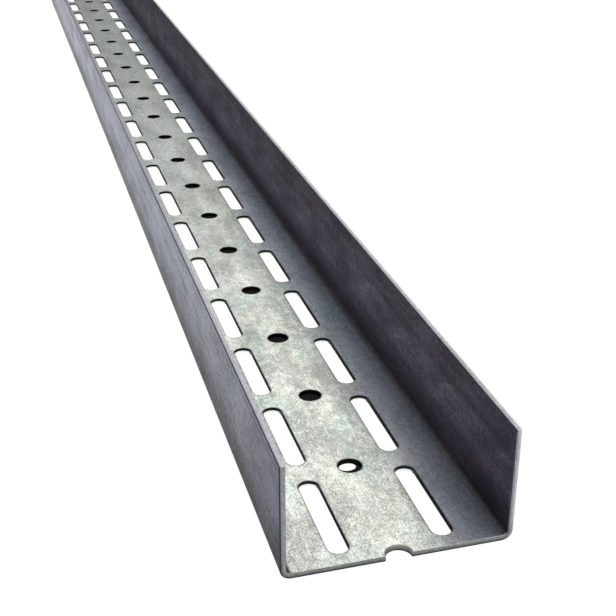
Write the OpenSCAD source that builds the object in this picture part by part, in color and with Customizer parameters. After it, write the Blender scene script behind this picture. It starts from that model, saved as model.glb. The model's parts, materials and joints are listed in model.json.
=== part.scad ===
// Drywall stud for door openings and tall walls: one strip of hot-dip galvanised steel,
// punched with two rows of slots and a row of round holes, then roll-formed into a plain U.
// The stud lies on the back of its web: X runs along it, Y across the web, Z up the flanges.

/* [Stud] */
// Length of the stud
stud_length = 3000; // [500:50:4000]
// Width of the web, over the outsides of the two flanges
web_width = 75; // [64:1:150]
// Height of the flanges, from the back of the web to their tips
flange_height = 40; // [25:1:60]
// Thickness of the sheet
sheet = 2; // [1:0.1:3]
// Inside radius of the two bends
bend_radius = 1.5; // [0.5:0.1:3]

/* [Punching] */
// Distance from one slot to the next, and from one hole to the next, along the stud
pitch = 50; // [46:1:100]
// Length of a slot, over its round ends
slot_length = 40; // [12:1:42]
// Width of a slot
slot_width = 7; // [4:0.5:10]
// Distance between the centre lines of the two rows of slots
row_spacing = 34; // [26:1:40]
// Diameter of the round holes in the middle of the web
hole_diameter = 8.5; // [4:0.5:14]
// Distance from the near end of the stud to the centre of the first hole
first_hole = 0; // [0:1:25]
// Least metal between the far end of the stud and the last slot
end_metal = 4; // [3:1:20]

/* [Hidden] */
$fn = 48;

bend_outside = bend_radius + sheet;             // outside radius of a bend
web_flat = web_width - 2 * bend_outside;        // flat of the web between its bends
flange_flat = flange_height - bend_outside;     // flat of a flange above its bend
near_end = -stud_length / 2;
// A slot sits midway between two holes.
slot_count = floor((stud_length - first_hole - pitch / 2 - slot_length / 2 - end_metal) / pitch) + 1;
hole_count = floor((stud_length - first_hole) / pitch) + 1;

// Outline of one slot, lying along X.
module slot_outline() {
    straight = slot_length - slot_width;
    square([straight, slot_width], center = true);
    for (end = [-1, 1])
        translate([end * straight / 2, 0]) circle(d = slot_width);
}

// Everything that the punch takes out of the strip.
module punching() {
    translate([near_end + first_hole, 0]) {
        for (i = [0 : slot_count - 1], row = [-1, 1])
            translate([(i + 0.5) * pitch, row * row_spacing / 2]) slot_outline();
        for (i = [0 : hole_count - 1])
            translate([i * pitch, 0]) circle(d = hole_diameter);
    }
}

// Flat of the web, punched.
module web() {
    linear_extrude(sheet)
        difference() {
            square([stud_length, web_flat], center = true);
            punching();
        }
}

// A section drawn in the Y-Z plane and run along the whole stud.
module along_stud() {
    rotate([90, 0, 90])
        linear_extrude(stud_length, center = true) children();
}

// Bend and flange on the +Y side of the web.
module flange() {
    along_stud() {
        translate([web_flat / 2, bend_outside])
            intersection() {
                difference() {
                    circle(r = bend_outside);
                    circle(r = bend_radius);
                }
                translate([0, -bend_outside]) square(bend_outside);
            }
        translate([web_width / 2 - sheet, bend_outside]) square([sheet, flange_flat]);
    }
}

module stud_channel() {
    color("#a3a9a4")
        union() {
            web();
            flange();
            mirror([0, 1, 0]) flange();
        }
}

stud_channel();
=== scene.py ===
# Heavy drywall stud: a U rolled from punched, hot-dip galvanised sheet, lying on the back of its web.
# X runs along the stud, Y across its web and Z up its flanges. Lengths are in metres.
import json
import math
import bmesh
import bpy
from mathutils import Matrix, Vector


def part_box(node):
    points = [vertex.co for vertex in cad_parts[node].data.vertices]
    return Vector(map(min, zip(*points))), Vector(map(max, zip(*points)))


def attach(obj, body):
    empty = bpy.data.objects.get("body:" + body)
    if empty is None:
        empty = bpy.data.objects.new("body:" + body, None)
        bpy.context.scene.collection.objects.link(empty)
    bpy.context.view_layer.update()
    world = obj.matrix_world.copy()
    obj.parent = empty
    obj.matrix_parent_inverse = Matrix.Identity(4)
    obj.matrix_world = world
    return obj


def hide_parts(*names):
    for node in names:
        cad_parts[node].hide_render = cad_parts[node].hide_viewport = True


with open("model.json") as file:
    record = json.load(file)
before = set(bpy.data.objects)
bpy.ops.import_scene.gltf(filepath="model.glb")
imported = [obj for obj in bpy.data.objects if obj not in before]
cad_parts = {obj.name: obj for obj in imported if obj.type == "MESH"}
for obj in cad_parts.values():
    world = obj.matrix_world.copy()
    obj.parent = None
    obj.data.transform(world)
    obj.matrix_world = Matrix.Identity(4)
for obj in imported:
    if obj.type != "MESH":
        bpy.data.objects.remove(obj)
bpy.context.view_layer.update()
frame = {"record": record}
mm = 0.001
scene = bpy.context.scene
studLow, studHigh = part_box("stud_channel")
studMiddleX = (studLow.x + studHigh.x) / 2
nearFoot = Vector((studLow.x, (studLow.y + studHigh.y) / 2, studLow.z))  # middle of the near end's foot

# The camera stands before the near end, a little to its left, and looks down along the stud.
cameraPlace = {
    "eye": (-0.2569, 0.1008, 0.2160),  # from the near foot
    "target": (0.1787, -0.0212, 0.0),
    "lens": 65.3,  # millimetres, on a sensor of the width below
    "sensorWidth": 36,
    "clipStart": 10 * mm,
}


def makeCamera():
    camera = bpy.data.objects.new("camera", bpy.data.cameras.new("camera"))
    scene.collection.objects.link(camera)
    camera.data.lens = cameraPlace["lens"]
    camera.data.sensor_width = cameraPlace["sensorWidth"]
    camera.data.clip_start = cameraPlace["clipStart"]
    camera.location = nearFoot + Vector(cameraPlace["eye"])
    gaze = Vector(cameraPlace["target"]) - Vector(cameraPlace["eye"])
    camera.rotation_euler = gaze.to_track_quat("-Z", "Y").to_euler()
    scene.camera = camera


makeCamera()
print("camera: placed")


def putNode(tree, kind, **settings):
    node = tree.nodes.new(kind)
    for name, value in settings.items():
        setattr(node, name, value)
    return node


def give(tree, socket, source):
    # A source is another node's output or a fixed value.
    if isinstance(source, bpy.types.NodeSocket):
        tree.links.new(source, socket)
    elif socket.type == "RGBA":
        socket.default_value = (*source, 1.0)
    else:
        socket.default_value = source


def feed(tree, node, **sources):
    # Gives each named input its source. An underscore in a name stands for a space.
    for name, source in sources.items():
        give(tree, node.inputs[name.replace("_", " ")], source)
    return node


def calculate(tree, operation, *sources, clamp=False):
    node = putNode(tree, "ShaderNodeMath", operation=operation, use_clamp=clamp)
    for socket, source in zip(node.inputs, sources):
        give(tree, socket, source)
    return node.outputs[0]


def combine(tree, operation, *vectors):
    # As calculate does, for vectors.
    node = putNode(tree, "ShaderNodeVectorMath", operation=operation)
    for socket, source in zip(node.inputs, vectors):
        give(tree, socket, source)
    return node.outputs


def product(tree, *sources):
    result = sources[0]
    for source in sources[1:]:
        result = calculate(tree, "MULTIPLY", result, source)
    return result


def distance(tree, value, place):
    return calculate(tree, "ABSOLUTE", calculate(tree, "SUBTRACT", value, place))


def about(tree, value, gain):
    # A value that swings about one half is made to swing about zero, by so much.
    return calculate(tree, "MULTIPLY_ADD", value, gain, -gain / 2)


def spread(tree, value, fromLow, fromHigh, toLow, toHigh):
    node = putNode(tree, "ShaderNodeMapRange")
    feed(tree, node, Value=value, From_Min=fromLow, From_Max=fromHigh, To_Min=toLow, To_Max=toHigh)
    return node.outputs["Result"]


def ramp(tree, value, start, full):
    # A mask: 0 at the start and before it, 1 where it is full and past that.
    return spread(tree, value, start, full, 0, 1)


def blendColours(tree, share, first, second, way="MIX"):
    node = putNode(tree, "ShaderNodeMix", data_type="RGBA", blend_type=way)
    for socket, source in zip((node.inputs[0], node.inputs[6], node.inputs[7]), (share, first, second)):
        give(tree, socket, source)
    return node.outputs[2]


def tintColour(tree, share, colour, tint):
    return blendColours(tree, share, colour, tint, way="MULTIPLY")


def axesOf(tree, vector):
    node = putNode(tree, "ShaderNodeSeparateXYZ")
    tree.links.new(vector, node.inputs[0])
    return node.outputs


def stretched(tree, position, sizes):
    # Position measured in features of the given size along X, Y and Z.
    return combine(tree, "DIVIDE", position, sizes)[0]


def noise(tree, position, sizes, detail=2.0, roughness=0.5):
    node = putNode(tree, "ShaderNodeTexNoise")
    feed(tree, node, Vector=stretched(tree, position, sizes), Scale=1.0, Detail=detail, Roughness=roughness)
    return node.outputs["Fac"]


def newGroup(name, inputs, outputs):
    group = bpy.data.node_groups.new(name, "ShaderNodeTree")
    for socketName, kind, value in inputs:
        socket = group.interface.new_socket(socketName, in_out="INPUT", socket_type="NodeSocket" + kind)
        if value is not None:
            socket.default_value = value
    for socketName in outputs:
        group.interface.new_socket(socketName, in_out="OUTPUT", socket_type="NodeSocketFloat")
    return group, putNode(group, "NodeGroupInput").outputs, putNode(group, "NodeGroupOutput").inputs


def useGroup(tree, group, **sources):
    return feed(tree, putNode(tree, "ShaderNodeGroup", node_tree=group), **sources).outputs


mottleForm = {  # each size is along X, Y and Z
    "cloudShift": (-0.71, -0.76, -0.38),  # chooses which clouds lie where
    "cloudSize": (32 * mm, 15 * mm, 15 * mm),
    "cloudGain": 2.2,
    "blotchSize": (3.6 * mm, 3.0 * mm, 3.0 * mm),
    "blotchGain": 1.25,
    "grainSize": (0.65 * mm, 0.65 * mm, 0.65 * mm),
    "grainGain": 2.3,
    "crystalSize": (1.2 * mm, 1.2 * mm, 1.2 * mm),
    "crystalGain": 0.45,
    "hueSize": (24 * mm, 12 * mm, 12 * mm),
    "pitSize": (0.8 * mm, 0.6 * mm, 0.6 * mm),
    "pitLevels": (0.62, 0.72),
}


def makeZincMottle():
    # Clouds, blotches and fine crystals of a zinc coat. Shade runs from dull, 0, to bright, 1.
    form = mottleForm
    group, given, wanted = newGroup(
        "zincMottle",
        [("Position", "Vector", None), ("Blotches", "Float", 0.5), ("Crystals", "Float", 0.5)],
        ["Shade", "Hue", "Pits", "Relief"],
    )
    position = given["Position"]
    shifted = combine(group, "ADD", position, form["cloudShift"])[0]
    clouds = noise(group, shifted, form["cloudSize"], detail=3.0)
    blotches = noise(group, position, form["blotchSize"], detail=3.0, roughness=0.6)
    grain = noise(group, position, form["grainSize"], detail=1.0, roughness=0.7)
    cells = putNode(group, "ShaderNodeTexVoronoi", feature="F1", distance="EUCLIDEAN")
    feed(group, cells, Vector=stretched(group, position, form["crystalSize"]), Scale=1.0)
    crystal = putNode(group, "ShaderNodeSeparateColor")
    group.links.new(cells.outputs["Color"], crystal.inputs[0])
    clouds = about(group, clouds, form["cloudGain"])
    blotches = about(group, blotches, form["blotchGain"])
    broad = product(group, calculate(group, "ADD", clouds, blotches), given["Blotches"])
    specks = about(group, grain, form["grainGain"])
    facets = about(group, crystal.outputs["Red"], form["crystalGain"])
    fine = product(group, calculate(group, "ADD", specks, facets), given["Crystals"])
    shade = calculate(group, "ADD", calculate(group, "ADD", broad, fine), 0.5, clamp=True)
    group.links.new(shade, wanted["Shade"])
    group.links.new(noise(group, position, form["hueSize"]), wanted["Hue"])
    pits = noise(group, position, form["pitSize"], detail=1.0)
    group.links.new(ramp(group, pits, *form["pitLevels"]), wanted["Pits"])
    group.links.new(calculate(group, "ADD", grain, crystal.outputs["Green"]), wanted["Relief"])
    return group


markForm = {
    "fineSize": (160 * mm, 0.7 * mm, 0.7 * mm),
    "wideSize": (420 * mm, 4.5 * mm, 4.5 * mm),
    "rubSize": (70 * mm, 1.6 * mm, 1.6 * mm),
    "rubLevels": (0.6, 0.75),
}


def makeRollingMarks():
    # Fine lines that the rolls drew along the stud, and here and there a deeper rub.
    group, given, wanted = newGroup("rollingMarks", [("Position", "Vector", None)], ["Lines", "Rubs"])
    position = given["Position"]
    fine = noise(group, position, markForm["fineSize"])
    wide = noise(group, position, markForm["wideSize"])
    mean = product(group, calculate(group, "ADD", fine, wide), 0.5)
    group.links.new(mean, wanted["Lines"])
    rubs = noise(group, position, markForm["rubSize"])
    group.links.new(ramp(group, rubs, *markForm["rubLevels"]), wanted["Rubs"])
    return group


zincMottle = makeZincMottle()
rollingMarks = makeRollingMarks()
print("effects:", zincMottle.name, "and", rollingMarks.name)


def newMaterial(name, **values):
    material = bpy.data.materials.new(name)
    material.use_nodes = True
    tree = material.node_tree
    shader = tree.nodes["Principled BSDF"]
    feed(tree, shader, **values)
    position = putNode(tree, "ShaderNodeTexCoord").outputs["Object"]
    return material, tree, shader, position


def addRelief(tree, shader, height, depth):
    bump = feed(tree, putNode(tree, "ShaderNodeBump"), Height=height, Distance=depth, Strength=1.0)
    tree.links.new(bump.outputs[0], shader.inputs["Normal"])


# The punching and the sheet come from the stud's stated slots and holes.
mounts = {mount["name"]: mount for mount in frame["record"]["mounts"]}
slotRows = mounts["near_end_slots"]
holeRow = mounts["near_end_holes_a"]
studForm = {
    "length": studHigh.x - studLow.x,
    "halfWidth": (studHigh.y - studLow.y) / 2,
    "height": studHigh.z - studLow.z,
    "sheet": slotRows["pos_m"][2] - studLow.z,
    "bendRadius": 1.5 * mm,  # inside the bend
    "pitch": slotRows["dims"]["spacing_x_mm"] * mm,
    "rowSpacing": slotRows["dims"]["spacing_y_mm"] * mm,
    "slotLength": slotRows["dims"]["slot_length_mm"] * mm,
    "slotRadius": slotRows["dims"]["hole_r_mm"] * mm,
    "holeRadius": holeRow["dims"]["hole_r_mm"] * mm,
    "holeBand": 10 * mm,  # half the width of the band round the holes
    "alongSteps": 8,  # faces along one pitch
    "acrossSteps": 8,  # faces across one slot's patch
    "slotArcSteps": 12,  # faces round a slot's end
    "bendSteps": 7,
    "flangeRows": 2,
    "edgeRound": 0.15 * mm,
    "edgeSegments": 2,
    "edgeAngle": 50,  # degrees, and sharper edges are rounded
}
slotStraight = studForm["slotLength"] - 2 * studForm["slotRadius"]


def placeInPitch(tree, x):
    # From 0 at one round hole to the pitch at the next, with the slots midway.
    pitches = calculate(tree, "DIVIDE", calculate(tree, "SUBTRACT", x, studLow.x), studForm["pitch"])
    return product(tree, calculate(tree, "FRACT", pitches), studForm["pitch"])


# In each pair of places the mark is absent at the first and full at the second.
zincLook = {
    "dull": (0.43, 0.44, 0.43),
    "bright": (0.92, 0.92, 0.89),
    "green": (0.95, 1.0, 0.972),
    "warm": {"tint": (1.0, 0.993, 0.962), "levels": (0.38, 0.5)},
    "mauve": {"tint": (0.97, 0.945, 1.0), "levels": (0.6, 0.7), "most": 0.6},
    "linesOnWeb": 0.9,
    "linesOnFlanges": 2.2,
    # A painted highlight: the middle of the web is brighter, in patches.
    "middle": {"gain": 0.22, "y": -1 * mm, "aside": (11 * mm, 1 * mm)},
    "patches": {"size": (55 * mm, 30 * mm, 30 * mm), "levels": (0.35, 0.6), "least": 0.3},
    # Painted shade: the right of the web is bluish and darker, a brownish band lies low on the flanges beside
    # the bends, and the flanges are darker, inside more than outside. The flanges are also darker towards the
    # stud's ends.
    "strip": {"tint": (0.75, 0.795, 0.98), "y": (-11 * mm, -25 * mm), "rougher": 0.1, "metallic": 0.88},
    "bends": {"tint": (0.52, 0.47, 0.43), "aside": (33 * mm, 34.5 * mm), "z": (17 * mm, 8 * mm)},
    "flanges": {"inside": (0.58, 0.515, 0.68), "outside": (0.79, 0.795, 0.87), "z": (2.1 * mm, 3.1 * mm)},
    "insideToOutside": 0.3 * mm,  # to either side of the middle of the sheet
    "ends": {"tint": (0.72, 0.68, 0.75), "fromEnd": (50 * mm, 5 * mm)},
    "pits": {"colour": (0.22, 0.22, 0.22), "most": 0.35},
    # Painted shade: a dark rim round the edge of each slot and hole.
    "rimShade": {"tint": (0.3, 0.3, 0.31), "fromEdge": (0.6 * mm, 0.15 * mm)},
    "dullRoughness": 0.42,
    "brightRoughness": 0.27,
    "rubbedSmoother": 0.06,
    "relief": 0.03 * mm,
}


def openingRims(tree, axes):
    # 1 at the edge of each slot and hole, 0 from the rim's width on.
    form = studForm
    fromSlot = distance(tree, placeInPitch(tree, axes["X"]), form["pitch"] / 2)
    fromHole = calculate(tree, "SUBTRACT", form["pitch"] / 2, fromSlot)
    pastStraight = calculate(tree, "MAXIMUM", calculate(tree, "SUBTRACT", fromSlot, slotStraight / 2), 0.0)
    fromAxis = calculate(tree, "ABSOLUTE", axes["Y"])
    fromRow = calculate(tree, "SUBTRACT", fromAxis, form["rowSpacing"] / 2)
    gaps = []
    for along, across, radius in (
        (pastStraight, fromRow, form["slotRadius"]),
        (fromHole, fromAxis, form["holeRadius"]),
    ):
        squares = calculate(tree, "ADD", product(tree, along, along), product(tree, across, across))
        gaps.append(calculate(tree, "SUBTRACT", calculate(tree, "SQRT", squares), radius))
    return ramp(tree, calculate(tree, "MINIMUM", *gaps), *zincLook["rimShade"]["fromEdge"])


def zincShade(tree, position, axes, mottle, marks, onFlange):
    # The coat's own shade, with the rolling marks and a painted highlight along the middle of the web.
    look, middle, patches = zincLook, zincLook["middle"], zincLook["patches"]
    lineGain = spread(tree, onFlange, 0, 1, look["linesOnWeb"], look["linesOnFlanges"])
    lines = product(tree, about(tree, marks["Lines"], 1.0), lineGain)
    shade = calculate(tree, "ADD", mottle["Shade"], lines, clamp=True)
    # Painted highlight along the middle of the web.
    inMiddle = ramp(tree, distance(tree, axes["Y"], middle["y"]), *middle["aside"])
    patchy = noise(tree, position, patches["size"])
    patchy = spread(tree, patchy, *patches["levels"], patches["least"], 1)
    middleHighlight = product(tree, inMiddle, patchy, middle["gain"])
    return calculate(tree, "ADD", shade, middleHighlight, clamp=True)


def makeZincSheet():
    look = zincLook
    material, tree, shader, position = newMaterial("galvanisedSheet", Metallic=1.0)
    mottle = useGroup(tree, zincMottle, Position=position, Blotches=0.9, Crystals=0.9)
    marks = useGroup(tree, rollingMarks, Position=position)
    axes = axesOf(tree, position)
    fromMiddleY = calculate(tree, "ABSOLUTE", axes["Y"])
    onFlange = ramp(tree, axes["Z"], *look["flanges"]["z"])
    shade = zincShade(tree, position, axes, mottle, marks, onFlange)

    warm = ramp(tree, mottle["Hue"], *look["warm"]["levels"])
    hue = blendColours(tree, warm, look["green"], look["warm"]["tint"])
    mauve = spread(tree, mottle["Hue"], *look["mauve"]["levels"], 0, look["mauve"]["most"])
    hue = blendColours(tree, mauve, hue, look["mauve"]["tint"])
    colour = blendColours(tree, shade, look["dull"], look["bright"])
    colour = tintColour(tree, 1.0, colour, hue)

    # Painted shade: a brownish band low on the flanges beside the bends.
    besideBend = ramp(tree, fromMiddleY, *look["bends"]["aside"])
    lowOnFlange = product(tree, besideBend, ramp(tree, axes["Z"], *look["bends"]["z"]))
    colour = tintColour(tree, lowOnFlange, colour, look["bends"]["tint"])
    # Painted shade: the right of the web, beside the right flange, is bluish and darker.
    strip = calculate(tree, "SUBTRACT", ramp(tree, axes["Y"], *look["strip"]["y"]), onFlange, clamp=True)
    colour = tintColour(tree, strip, colour, look["strip"]["tint"])
    # Painted shade: the flanges are darker and mauve, the inside more than the outside.
    middleOfSheet = studForm["halfWidth"] - studForm["sheet"] / 2
    reach = look["insideToOutside"]
    outside = ramp(tree, fromMiddleY, middleOfSheet - reach, middleOfSheet + reach)
    flange = blendColours(tree, outside, look["flanges"]["inside"], look["flanges"]["outside"])
    colour = tintColour(tree, onFlange, colour, flange)
    # The flanges are darker towards each end of the stud.
    fromEnd = calculate(tree, "SUBTRACT", studForm["length"] / 2, distance(tree, axes["X"], studMiddleX))
    flangeEnd = product(tree, ramp(tree, fromEnd, *look["ends"]["fromEnd"]), onFlange)
    colour = tintColour(tree, flangeEnd, colour, look["ends"]["tint"])
    pitted = product(tree, mottle["Pits"], look["pits"]["most"])
    colour = blendColours(tree, pitted, colour, look["pits"]["colour"])
    # Painted shade round the edges of the slots and holes.
    colour = tintColour(tree, openingRims(tree, axes), colour, look["rimShade"]["tint"])
    tree.links.new(colour, shader.inputs["Base Color"])

    rough = spread(tree, shade, 0, 1, look["dullRoughness"], look["brightRoughness"])
    rough = calculate(tree, "SUBTRACT", rough, product(tree, marks["Rubs"], look["rubbedSmoother"]))
    rough = calculate(tree, "ADD", rough, product(tree, strip, look["strip"]["rougher"]))
    tree.links.new(rough, shader.inputs["Roughness"])
    metallic = spread(tree, strip, 0, 1, 1.0, look["strip"]["metallic"])
    tree.links.new(metallic, shader.inputs["Metallic"])
    addRelief(tree, shader, calculate(tree, "ADD", mottle["Relief"], marks["Lines"]), look["relief"])
    return material


def cutDepth(tree):
    # How far across the sheet the blade or punch has come, from 0 to 1.
    return putNode(tree, "ShaderNodeAttribute", attribute_name="cutDepth").outputs["Fac"]


cutLook = {
    "web": {"burnished": (0.62, 0.63, 0.60), "torn": (0.36, 0.37, 0.36)},
    "flange": {"burnished": (0.66, 0.645, 0.69), "torn": (0.58, 0.57, 0.62), "z": (3 * mm, 9 * mm)},
    "torn": {"depth": (0.58, 0.68), "raggedSize": (1.5 * mm, 1.5 * mm, 1.5 * mm), "raggedBy": 0.25},
    # The near-white highlight on the right flange's cut is painted.
    "cutHighlight": {"colour": (1.0, 1.0, 1.0), "depth": (0.5, 0.25), "y": (1 * mm, -1 * mm)},
    "tip": {"colour": (0.70, 0.67, 0.76), "below": (0.1 * mm, 0.05 * mm)},
    "stain": {"colour": (0.012, 0.012, 0.013), "most": 0.3},
    "burrAndShade": {"colour": (0.06, 0.06, 0.065), "depth": (0.72, 0.8), "most": 0.95},
    "burnishedRoughness": 0.38,
    "tornRoughness": 0.5,
    "relief": 0.05 * mm,
}


def makeCutEdge():
    # A sheared edge is burnished where the blade entered, torn further on, and ends in a thin dark band,
    # partly the burr and partly painted shade at the edge.
    look = cutLook
    material, tree, shader, position = newMaterial("shearedEdge", Metallic=1.0)
    depth = cutDepth(tree)
    ragged = product(tree, noise(tree, position, look["torn"]["raggedSize"]), look["torn"]["raggedBy"])
    torn = ramp(tree, calculate(tree, "ADD", depth, ragged), *look["torn"]["depth"])
    axes = axesOf(tree, position)
    web = blendColours(tree, torn, look["web"]["burnished"], look["web"]["torn"])
    flange = blendColours(tree, torn, look["flange"]["burnished"], look["flange"]["torn"])
    # Painted highlight: on the right flange the outer half of the cut is near white.
    cutHighlight = product(
        tree,
        ramp(tree, depth, *look["cutHighlight"]["depth"]),
        ramp(tree, axes["Y"], *look["cutHighlight"]["y"]),
    )
    flange = blendColours(tree, cutHighlight, flange, look["cutHighlight"]["colour"])
    colour = blendColours(tree, ramp(tree, axes["Z"], *look["flange"]["z"]), web, flange)
    tip = blendColours(tree, cutHighlight, look["tip"]["colour"], look["cutHighlight"]["colour"])
    belowTip = calculate(tree, "SUBTRACT", studForm["height"], axes["Z"])
    colour = blendColours(tree, ramp(tree, belowTip, *look["tip"]["below"]), colour, tip)
    mottle = useGroup(tree, zincMottle, Position=position, Blotches=0.4, Crystals=0.9)
    stained = spread(tree, mottle["Shade"], 0, 1, look["stain"]["most"], 0)
    colour = blendColours(tree, stained, colour, look["stain"]["colour"])
    # Partly the burr, partly painted shade: a dark band near the far side of the cut.
    burrAndShade = spread(tree, depth, *look["burrAndShade"]["depth"], 0, look["burrAndShade"]["most"])
    colour = blendColours(tree, burrAndShade, colour, look["burrAndShade"]["colour"])
    tree.links.new(colour, shader.inputs["Base Color"])
    rough = spread(tree, torn, 0, 1, look["burnishedRoughness"], look["tornRoughness"])
    tree.links.new(rough, shader.inputs["Roughness"])
    addRelief(tree, shader, mottle["Relief"], look["relief"])
    return material


punchLook = {
    # The near-black wall is painted shade.
    "wall": (0.012, 0.012, 0.013),
    "torn": (0.36, 0.37, 0.36),
    "tornMost": 0.05,
    "polishAndHighlight": (0.95, 0.95, 0.95),
    "polishedFacing": (0.2, 0.6),  # how squarely the wall faces along the stud
    "polishedDepth": (0.55, 0.65),
    "polishedAside": (7 * mm, 9 * mm),  # the round holes lie nearer the middle and stay dark
    "polishedSmoother": 0.3,
    "dullRoughness": 0.65,
    "brightRoughness": 0.5,
    "relief": 0.05 * mm,
}


def makePunchedEdge():
    # A punched wall is near black, painted shade, and the lower part of each slot's round ends is polished
    # and painted near white, a painted highlight.
    look = punchLook
    material, tree, shader, position = newMaterial("punchedEdge", Metallic=1.0)
    mottle = useGroup(tree, zincMottle, Position=position, Blotches=0.3, Crystals=0.8)
    colour = blendColours(tree, product(tree, mottle["Shade"], look["tornMost"]), look["wall"], look["torn"])
    facing = axesOf(tree, putNode(tree, "ShaderNodeNewGeometry").outputs["Normal"])
    # Painted highlight, partly real polish: the lower part of each slot's round ends is near white.
    polishAndHighlight = product(
        tree,
        ramp(tree, calculate(tree, "ABSOLUTE", facing["X"]), *look["polishedFacing"]),
        ramp(tree, cutDepth(tree), *look["polishedDepth"]),
        ramp(tree, calculate(tree, "ABSOLUTE", axesOf(tree, position)["Y"]), *look["polishedAside"]),
    )
    colour = blendColours(tree, polishAndHighlight, colour, look["polishAndHighlight"])
    tree.links.new(colour, shader.inputs["Base Color"])
    rough = spread(tree, mottle["Shade"], 0, 1, look["dullRoughness"], look["brightRoughness"])
    rough = calculate(tree, "SUBTRACT", rough, product(tree, polishAndHighlight, look["polishedSmoother"]))
    tree.links.new(rough, shader.inputs["Roughness"])
    addRelief(tree, shader, mottle["Relief"], look["relief"])
    return material


studMaterials = [makeZincSheet(), makeCutEdge(), makePunchedEdge()]
print("materials:", ", ".join(material.name for material in studMaterials))


def roundEndedRing(centre, straight, radius, arcSteps, straightSteps):
    # Outline of a slot or, with no straight, of a hole. It starts under the +X end and runs anticlockwise.
    half = []
    for step in range(arcSteps):
        turn = math.pi * (step / arcSteps - 0.5)
        half.append(Vector((straight / 2 + radius * math.cos(turn), radius * math.sin(turn))))
    for step in range(straightSteps):
        half.append(Vector((straight * (0.5 - step / straightSteps), radius)))
    return [centre + point for point in half] + [centre - point for point in half]


def patchRing(low, high, lead):
    # Border of the patch round an opening, with its start "lead" faces before the +X corner.
    along, across = studForm["alongSteps"], studForm["acrossSteps"]
    width, depth = high.x - low.x, high.y - low.y
    ring = [Vector((low.x + width * step / along, low.y)) for step in range(along)]
    ring += [Vector((high.x, low.y + depth * step / across)) for step in range(across)]
    ring += [Vector((high.x - width * step / along, high.y)) for step in range(along)]
    ring += [Vector((low.x, high.y - depth * step / across)) for step in range(across)]
    start = along - lead
    return ring[start:] + ring[:start]


def flangeSection(side):
    # From the flat of the web round the bend to the tip: inside point, then the way out through the sheet.
    inside, form = [], studForm
    bendY = form["halfWidth"] - form["sheet"] - form["bendRadius"]
    bendZ = form["sheet"] + form["bendRadius"]
    for step in range(form["bendSteps"] + 1):
        turn = math.pi / 2 * step / form["bendSteps"]
        outY, outZ = math.sin(turn), -math.cos(turn)
        y, z = bendY + form["bendRadius"] * outY, bendZ + form["bendRadius"] * outZ
        inside.append(((side * y, z), (side * outY, outZ)))
    for row in range(1, form["flangeRows"] + 1):
        z = bendZ + (form["height"] - bendZ) * row / form["flangeRows"]
        inside.append(((side * (form["halfWidth"] - form["sheet"]), z), (side, 0.0)))
    return inside


def meshObject(name, mesh, *materials):
    piece = bpy.data.objects.new(name, bpy.data.meshes.new(name))
    mesh.to_mesh(piece.data)
    mesh.free()
    for material in materials:
        piece.data.materials.append(material)
    scene.collection.objects.link(piece)
    return piece


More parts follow.
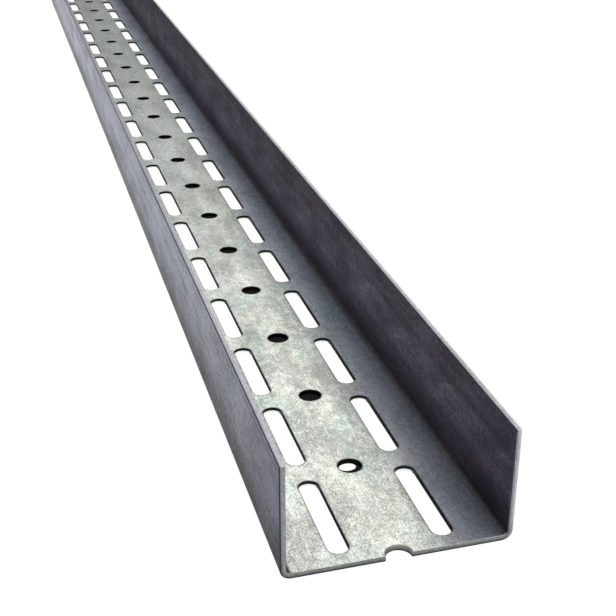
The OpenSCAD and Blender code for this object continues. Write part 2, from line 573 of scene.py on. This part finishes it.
def makeStud():
    form = studForm
    pitch, nearX, farX = form["pitch"], studLow.x, studHigh.x
    pitches = round(form["length"] / pitch)
    tolerance = 0.001 * mm
    mesh = bmesh.new()
    depth = mesh.verts.layers.float.new("cutDepth")  # how far across the sheet the blade has come
    corners, wayOut = {}, {}

    def corner(x, y, z=form["sheet"], outward=(0.0, -1.0)):
        # One vertex of the inside face, made once, with its way out through the sheet.
        key = (round(x / mm, 3), round(y / mm, 3), round(z / mm, 3))
        if key not in corners:
            corners[key] = mesh.verts.new((x, y, z))
            corners[key][depth] = max(0.0, -outward[0])
            wayOut[corners[key]] = Vector((0.0, *outward)) * form["sheet"]
        return corners[key]

    def fillPatch(opening, border):
        for here in range(len(opening)):
            ahead = (here + 1) % len(opening)
            flat = [opening[here], border[here], border[ahead], opening[ahead]]
            if all(nearX - tolerance <= point.x <= farX + tolerance for point in flat):
                mesh.faces.new([corner(point.x, point.y) for point in flat])

    arc, across, along = form["slotArcSteps"], form["acrossSteps"], form["alongSteps"]
    webEdge = form["halfWidth"] - form["sheet"] - form["bendRadius"]
    for number in range(pitches):
        for side in (-1, 1):
            centre = Vector((nearX + (number + 0.5) * pitch, side * form["rowSpacing"] / 2))
            opening = roundEndedRing(centre, slotStraight, form["slotRadius"], arc, along + across - arc)
            bandY, edgeY = sorted((side * form["holeBand"], side * webEdge))
            low, high = Vector((centre.x - pitch / 2, bandY)), Vector((centre.x + pitch / 2, edgeY))
            fillPatch(opening, patchRing(low, high, (arc - across) // 2))
    for number in range(pitches + 1):
        centre = Vector((nearX + number * pitch, 0.0))
        opening = roundEndedRing(centre, 0.0, form["holeRadius"], along + across, 0)
        reach = Vector((pitch / 2, form["holeBand"]))
        fillPatch(opening, patchRing(centre - reach, centre + reach, along // 2))
    stations = [nearX + pitch * step / along for step in range(pitches * along + 1)]
    for side in (-1, 1):
        section = flangeSection(side)
        for x, nextX in zip(stations, stations[1:]):
            for (point, outward), (nextPoint, nextOutward) in zip(section, section[1:]):
                mesh.faces.new([
                    corner(x, *point, outward),
                    corner(nextX, *point, outward),
                    corner(nextX, *nextPoint, nextOutward),
                    corner(x, *nextPoint, nextOutward),
                ])

    # The outside face copies the inside one, and a wall closes every open border.
    insideFaces = list(mesh.faces)
    borders = [edge for edge in mesh.edges if len(edge.link_faces) == 1]
    outside = {}
    for vertex in list(mesh.verts):
        outside[vertex] = mesh.verts.new(vertex.co + wayOut[vertex])
        outside[vertex][depth] = 1 - vertex[depth]
    for face in insideFaces:
        mesh.faces.new([outside[vertex] for vertex in reversed(face.verts)])
    for edge in borders:
        a, b = edge.verts
        wall = mesh.faces.new((a, b, outside[b], outside[a]))
        atEnd = min(a.co.x - nearX, farX - a.co.x) < form["holeRadius"] + tolerance
        atTip = min(a.co.z, b.co.z) > form["height"] - tolerance
        wall.material_index = 1 if atEnd or atTip else 2  # sheared or punched
    bmesh.ops.recalc_face_normals(mesh, faces=mesh.faces)
    for face in mesh.faces:
        face.smooth = True

    stud = meshObject("stud", mesh, *studMaterials)
    bevel = stud.modifiers.new("roundedEdges", "BEVEL")
    bevel.width = form["edgeRound"]
    bevel.segments = form["edgeSegments"]
    bevel.limit_method = "ANGLE"
    bevel.angle_limit = math.radians(form["edgeAngle"])
    normals = stud.modifiers.new("flatFaces", "WEIGHTED_NORMAL")
    normals.mode = "FACE_AREA"
    return stud


stud = makeStud()
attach(stud, "root")
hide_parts("stud_channel")
print("stud:", len(stud.data.polygons), "faces before its edges are rounded")


def whiteShare(tree, toCamera, toMetal):
    # How white a background is along a ray: one share for the camera, another for mirrored and passing rays.
    path = putNode(tree, "ShaderNodeLightPath").outputs
    mirrored = calculate(tree, "MAXIMUM", path["Is Glossy Ray"], path["Is Transmission Ray"])
    return calculate(
        tree, "ADD", product(tree, path["Is Camera Ray"], toCamera), product(tree, mirrored, toMetal)
    )


def mixShaders(tree, share, first, second):
    node = putNode(tree, "ShaderNodeMixShader")
    for socket, source in zip(node.inputs, (share, first.outputs[0], second.outputs[0])):
        tree.links.new(source, socket)
    return node.outputs[0]


floorLook = {
    "size": 30.0,
    "drop": 0.1 * mm,  # under the stud
    "colour": (0.8, 0.79, 0.84),
    "roughness": 0.9,
    "white": 1.09,
    "shadow": 0.1,  # how much of the lit floor, with its shadow, the camera sees
    "inMetal": 0.5,  # how much of the white floor the metal mirrors
    # Painted shadow: along the stud's left the floor is dark where the metal mirrors it, though the camera
    # sees it white.
    "mirroredShadow": {"y": 0.16, "aside": (0.2, 0.38), "inMetal": 0.03},
    # Under the far end of every slot that painted shadow has a window, a painted patch of light which the
    # wall there mirrors.
    "window": {"length": 3 * mm, "pastLength": 1 * mm, "pastSlot": (1.5 * mm, 0.5 * mm), "inMetal": 0.85},
}


def mirroredLightWindows(tree, axes):
    window = floorLook["window"]
    middle = (studForm["pitch"] + studForm["slotLength"] - window["length"]) / 2
    fromMiddle = distance(tree, placeInPitch(tree, axes["X"]), middle)
    half = window["length"] / 2
    fromRow = distance(tree, calculate(tree, "ABSOLUTE", axes["Y"]), studForm["rowSpacing"] / 2)
    fromSlot = calculate(tree, "SUBTRACT", fromRow, studForm["slotRadius"])
    return product(
        tree,
        ramp(tree, fromMiddle, half + window["pastLength"], half),
        ramp(tree, fromSlot, *window["pastSlot"]),
        window["inMetal"],
    )


def makeFloor():
    look, mirroredShadow = floorLook, floorLook["mirroredShadow"]
    material, tree, shader, position = newMaterial(
        "paleFloor", Base_Color=look["colour"], Roughness=look["roughness"]
    )
    white = feed(tree, putNode(tree, "ShaderNodeEmission"), Color=(1, 1, 1), Strength=look["white"])
    axes = axesOf(tree, position)
    # Painted shadow beside the stud, with painted light windows, seen only in the metal.
    aside = distance(tree, axes["Y"], mirroredShadow["y"])
    mirrored = spread(tree, aside, *mirroredShadow["aside"], mirroredShadow["inMetal"], look["inMetal"])
    mirrored = calculate(tree, "MAXIMUM", mirrored, mirroredLightWindows(tree, axes))
    share = whiteShare(tree, 1 - look["shadow"], mirrored)
    surface = mixShaders(tree, share, shader, white)
    tree.links.new(surface, tree.nodes["Material Output"].inputs["Surface"])
    mesh = bmesh.new()
    bmesh.ops.create_grid(mesh, x_segments=1, y_segments=1, size=look["size"] / 2)
    floor = meshObject("floor", mesh, material)
    floor.location.z = studLow.z - look["drop"]


# A painted shadow under the web's holes.
paintedShadowStrip = {
    "stations": (43 * mm, 61 * mm, 2957 * mm),  # near end, far side of the window's patch, far end
    "width": 12 * mm,
    "drop": 0.05 * mm,  # under the stud
    "windowCentre": (52.2 * mm, 0.1 * mm),  # from the near foot
    "windowReach": (2.2 * mm, 3.0 * mm),
    "colour": (0.013, 0.012, 0.012),
}


def makePaintedShadowStrip():
    # Painted shadow: a dark strip under the row of holes stands in for the shade under the web. A small
    # window in it leaves part of the first hole white.
    material = bpy.data.materials.new("paintedShadowStrip")
    material.use_nodes = True
    tree = material.node_tree
    dark = feed(tree, putNode(tree, "ShaderNodeEmission"), Color=paintedShadowStrip["colour"], Strength=1.0)
    tree.links.new(dark.outputs[0], tree.nodes["Material Output"].inputs["Surface"])
    mesh = bmesh.new()
    half, z = paintedShadowStrip["width"] / 2, studLow.z - paintedShadowStrip["drop"]
    nearX, middleX, farX = (studLow.x + x for x in paintedShadowStrip["stations"])
    along, across = studForm["alongSteps"], studForm["acrossSteps"]
    centre, reach = paintedShadowStrip["windowCentre"], paintedShadowStrip["windowReach"]
    window = []
    for point in roundEndedRing(Vector((0.0, 0.0)), 0.0, 1.0, along + across, 0):
        window.append(Vector((studLow.x + centre[0] + reach[0] * point.x, centre[1] + reach[1] * point.y)))
    border = patchRing(Vector((nearX, -half)), Vector((middleX, half)), along // 2)
    for here in range(len(window)):
        ahead = (here + 1) % len(window)
        ring = (window[here], border[here], border[ahead], window[ahead])
        mesh.faces.new([mesh.verts.new((*point, z)) for point in ring])
    rest = ((middleX, -half), (farX, -half), (farX, half), (middleX, half))
    mesh.faces.new([mesh.verts.new((x, y, z)) for x, y in rest])
    meshObject("paintedShadowStrip", mesh, material)


airLook = {
    "inMetal": 1.0,  # how much of the white air the metal mirrors
    # Dark flags stand ahead of the near end, and the metal hardly mirrors anything there.
    "flagsWay": (0.884, 0.279, 0.375),
    "flagsNearness": (0.32, 0.64),  # cosines of the angles at which the flags begin and are full
    "flagsInMetal": 0.005,
    "fill": (0.002, 0.002, 0.012),
}


def makeAir():
    scene.world = bpy.data.worlds.new("studioAir")
    scene.world.use_nodes = True
    tree = scene.world.node_tree
    fill = feed(tree, tree.nodes["Background"], Color=airLook["fill"], Strength=1.0)
    white = feed(tree, putNode(tree, "ShaderNodeBackground"), Color=(1, 1, 1), Strength=1.0)
    way = putNode(tree, "ShaderNodeTexCoord").outputs["Generated"]
    nearness = combine(tree, "DOT_PRODUCT", way, airLook["flagsWay"])["Value"]
    mirrored = spread(
        tree, nearness, *airLook["flagsNearness"], airLook["inMetal"], airLook["flagsInMetal"]
    )
    surface = mixShaders(tree, whiteShare(tree, 1.0, mirrored), fill, white)
    tree.links.new(surface, tree.nodes["World Output"].inputs["Surface"])


# Each lamp's place and aim are from the near foot. Its size is along its own X and Y, and glow is how bright
# its face is. The metal mirrors the two boxes and the banner. The floor lamps light the floor, and the metal
# doesn't mirror them.
lamps = {
    "topBox": {"size": (1.8, 2.7), "place": (1.39, -0.56, 2.6), "glow": 1.0, "tint": (0.99, 1.0, 0.975)},
    "frontBox": {"size": (1.72, 1.41), "place": (4.3, -0.99, 2.35), "glow": 1.05, "tint": (0.95, 1.0, 0.955)},
    "farBanner": {"size": (1.05, 1.85), "place": (5.88, -0.72, 0.96), "glow": 0.34, "tint": (0.9, 0.93, 1.0)},
    "farFloorLamp": {
        "size": (1.4, 1.0),
        "place": (1.4, 0.9, 0.7),
        "aim": (1.25, 0.1, 0.0),
        "glow": 0.92,
        "tint": (0.95, 0.96, 1.0),
        "beam": 70,
    },
    "midFloorLamp": {
        "size": (0.6, 0.4),
        "place": (0.4, 0.7, 0.45),
        "aim": (0.28, 0.1, 0.0),
        "glow": 0.66,
        "tint": (0.88, 0.95, 1.0),
        "beam": 70,
    },
    "nearFloorLamp": {
        "size": (0.5, 0.5),
        "place": (-0.35, -0.45, 0.5),
        "aim": (-0.15, -0.1, 0.0),
        "glow": 0.5,
        "tint": (1.0, 1.0, 1.0),
        "beam": 70,
    },
}
fullGlow = 4  # watts a square metre at which a lamp's face has a brightness of 1


def makeLamp(name, lamp):
    light = bpy.data.lights.new(name, "AREA")
    light.shape = "RECTANGLE"
    light.size, light.size_y = lamp["size"]
    light.energy = fullGlow * lamp["glow"] * light.size * light.size_y
    light.color = lamp["tint"]
    holder = bpy.data.objects.new(name, light)
    scene.collection.objects.link(holder)
    holder.location = nearFoot + Vector(lamp["place"])
    gaze = Vector(lamp.get("aim", (0.0, 0.0, 0.0))) - Vector(lamp["place"])
    holder.rotation_euler = gaze.to_track_quat("-Z", "Y").to_euler()
    holder.visible_camera = False
    if "beam" in lamp:
        light.spread = math.radians(lamp["beam"])
        holder.visible_glossy = False


makeFloor()
makePaintedShadowStrip()
makeAir()
for name, lamp in lamps.items():
    makeLamp(name, lamp)
scene.view_settings.view_transform = "Standard"
print("studio: floor, dark strip, air and", len(lamps), "lamps")
